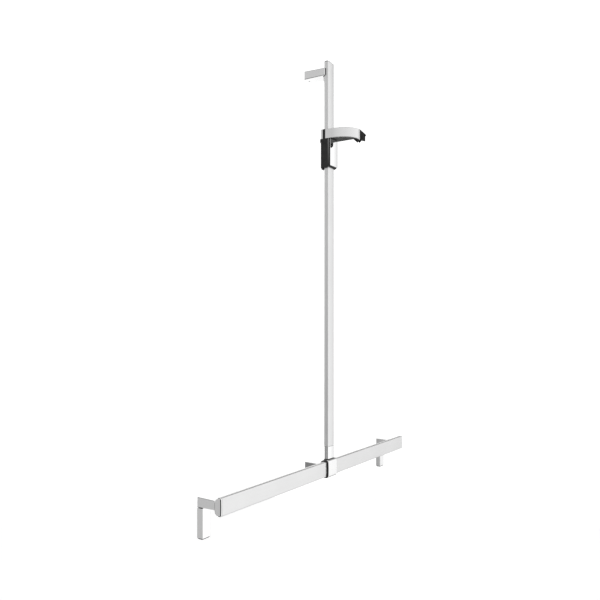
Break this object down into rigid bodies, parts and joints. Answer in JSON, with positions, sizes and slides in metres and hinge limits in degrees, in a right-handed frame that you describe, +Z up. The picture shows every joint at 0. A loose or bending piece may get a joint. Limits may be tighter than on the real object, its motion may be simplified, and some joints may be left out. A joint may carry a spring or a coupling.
{
  "type": "shower grab rail",
  "caption": "Horizontal wall grab rail with a vertical riser bar and a sliding, tilting hand-shower holder with a release paddle.",
  "frame": {"origin": "centre line of the middle wall plate's back, on the wall face, 1 mm above the rail's centre line", "axes": "+X along the rail to the right of a viewer who faces the wall, +Y into the wall, +Z up"},
  "size_m": [1.004, 0.166, 1.251],
  "materials": {
    "chrome": "polished chrome plate",
    "anodised_aluminium": "silver anodised, fine satin",
    "black_plastic": "moulded, fine grain",
    "steel": "zinc plated",
    "zinc": "die cast, as cast",
    "rubber": "matt"
  },
  "bodies": {
    "root": {"grab_rail": "anodised_aluminium", "rail_end_cap_left": "chrome", "rail_end_cap_right": "chrome", "left_bracket_arm": "chrome", "right_bracket_arm": "chrome", "middle_bracket_arm": "chrome", "top_bracket_arm": "chrome", "left_leg_cover": "chrome", "right_leg_cover": "chrome", "left_wall_plate": "steel", "right_wall_plate": "steel", "middle_wall_plate": "steel", "top_wall_plate": "steel", "bracket_screw_left": "steel", "bracket_screw_middle": "steel", "bracket_screw_right": "steel", "bracket_screw_top": "steel", "grub_screw_left": "steel", "grub_screw_middle": "steel", "grub_screw_right": "steel", "grub_screw_top": "steel", "rail_clamp_block_left": "zinc", "rail_clamp_block_middle": "zinc", "rail_clamp_block_right": "zinc", "bar_clamp_block": "zinc", "rail_collar": "chrome", "collar_liner": "black_plastic", "bar_socket": "chrome", "socket_gasket": "rubber", "bar_spigot": "zinc", "riser_tie_bolt": "steel", "riser_nut": "steel", "riser_bar": "anodised_aluminium", "bar_top_cap": "chrome", "top_bracket_seal": "rubber"},
    "slider": {"slider_body": "black_plastic", "rear_yoke": "chrome", "arm_core": "black_plastic", "arm_band": "chrome", "arm_end_trim": "anodised_aluminium", "arm_screw_left": "steel", "arm_screw_right": "steel", "paddle_pin": "steel", "paddle_spring": "steel", "cradle_screw": "steel", "cradle_washer": "rubber"},
    "paddle": {"release_paddle": "chrome", "brake_pad": "rubber"},
    "cradle": {"hose_cradle": "black_plastic"}
  },
  "joints": [
    {"name": "slider_travel", "type": "slide", "parent": "root", "child": "slider", "axis": [0, 0, 1], "range_m": [-0.79, 0.152]},
    {"name": "paddle_press", "type": "hinge", "parent": "slider", "child": "paddle", "pos_m": [0, -0.0856, 0.893], "axis": [1, 0, 0], "range_deg": [0, 1.8], "stiffness_Nm_per_rad": 1, "springref_deg": -6.88},
    {"name": "cradle_tilt", "type": "hinge", "parent": "slider", "child": "cradle", "pos_m": [0.0449, -0.146, 0.9492], "axis": [0.9848, 0.1736, 0], "range_deg": [-46, 20]}
  ]
}
